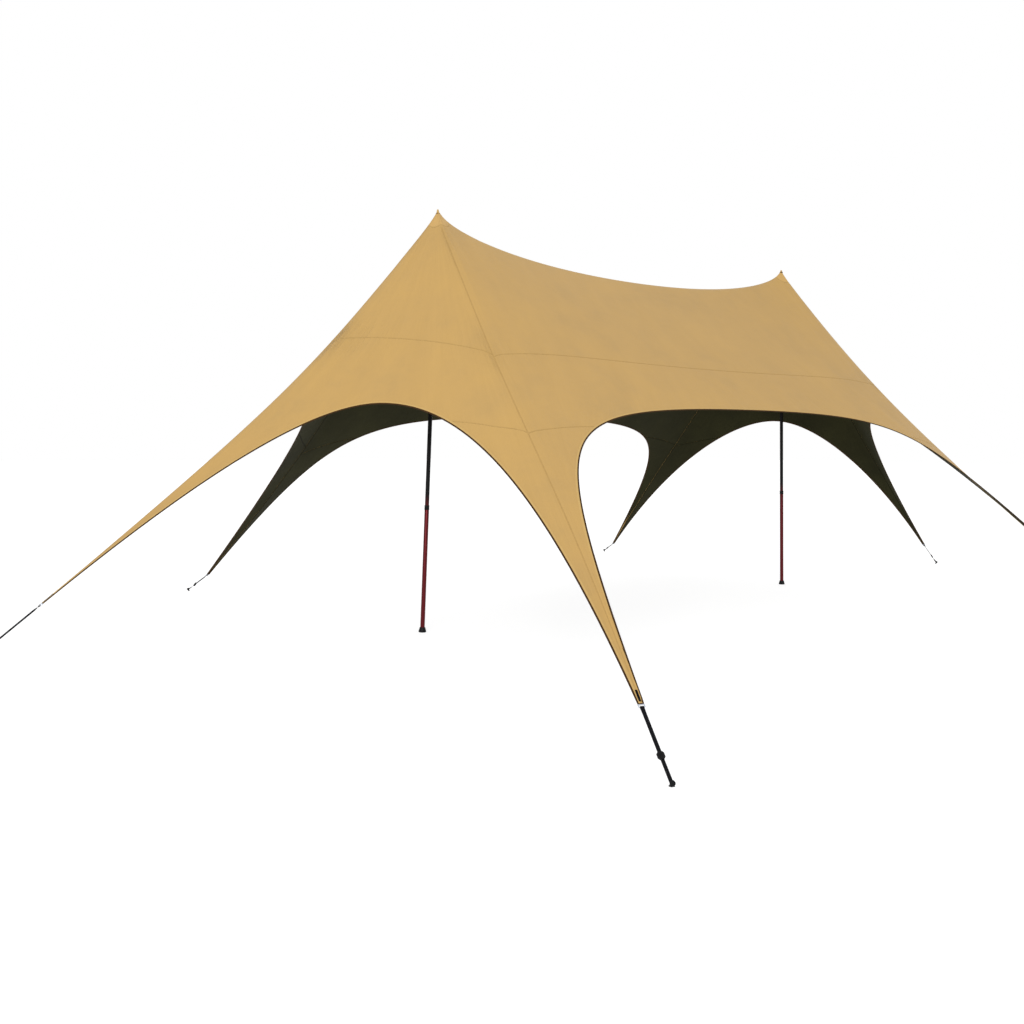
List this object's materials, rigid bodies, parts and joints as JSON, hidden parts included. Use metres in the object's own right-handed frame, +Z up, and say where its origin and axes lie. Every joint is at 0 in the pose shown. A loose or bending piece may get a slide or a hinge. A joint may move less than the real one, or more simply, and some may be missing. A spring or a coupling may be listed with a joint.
{
  "type": "canopy tent",
  "caption": "Star-shaped canopy tent: a tan stretched cloth roof over two leaning poles, its six arms strapped and pegged to the ground.",
  "frame": {"origin": "on the ground, under the middle of the whole tent's outline, 0.15 m left of midway between the poles", "axes": "+X along the line of the two poles to the right, +Y to the back, +Z up"},
  "size_m": [13.1232, 8.2858, 3.9981],
  "materials": {
    "canopy_cloth": "matt coated polyester cloth, tan outside, dark olive underneath",
    "pole_red": "dark red anodised tube",
    "black_plastic": "moulded black plastic",
    "bright_metal": "bright satin metal",
    "black_webbing": "ribbed black webbing"
  },
  "bodies": {
    "root": {"end_panel_left_front": "canopy_cloth", "end_panel_left_back": "canopy_cloth", "end_panel_right_front": "canopy_cloth", "end_panel_right_back": "canopy_cloth", "side_panel_front": "canopy_cloth", "side_panel_back": "canopy_cloth", "peak_cone_left": "canopy_cloth", "peak_cone_right": "canopy_cloth", "pole_foot_left": "black_plastic", "pole_lower_left": "pole_red", "pole_collar_left": "black_plastic", "pole_upper_left": "pole_red", "pole_cap_left": "black_plastic", "pole_foot_right": "black_plastic", "pole_lower_right": "pole_red", "pole_collar_right": "black_plastic", "pole_upper_right": "pole_red", "pole_cap_right": "black_plastic", "tip_ring_left_end": "bright_metal", "strap_left_end": "black_webbing", "strap_buckle_left_end": "black_plastic", "ground_peg_left_end": "black_plastic", "tip_ring_back_left": "bright_metal", "strap_back_left": "black_webbing", "strap_buckle_back_left": "black_plastic", "ground_peg_back_left": "black_plastic", "tip_ring_front_left": "bright_metal", "strap_front_left": "black_webbing", "strap_buckle_front_left": "black_plastic", "ground_peg_front_left": "black_plastic", "tip_ring_back_right": "bright_metal", "strap_back_right": "black_webbing", "strap_buckle_back_right": "black_plastic", "ground_peg_back_right": "black_plastic", "tip_ring_right_end": "bright_metal", "strap_right_end": "black_webbing", "strap_buckle_right_end": "black_plastic", "ground_peg_right_end": "black_plastic", "tip_ring_front_right": "bright_metal", "strap_front_right": "black_webbing", "strap_buckle_front_right": "black_plastic", "ground_peg_front_right": "black_plastic"}
  },
  "joints": []
}
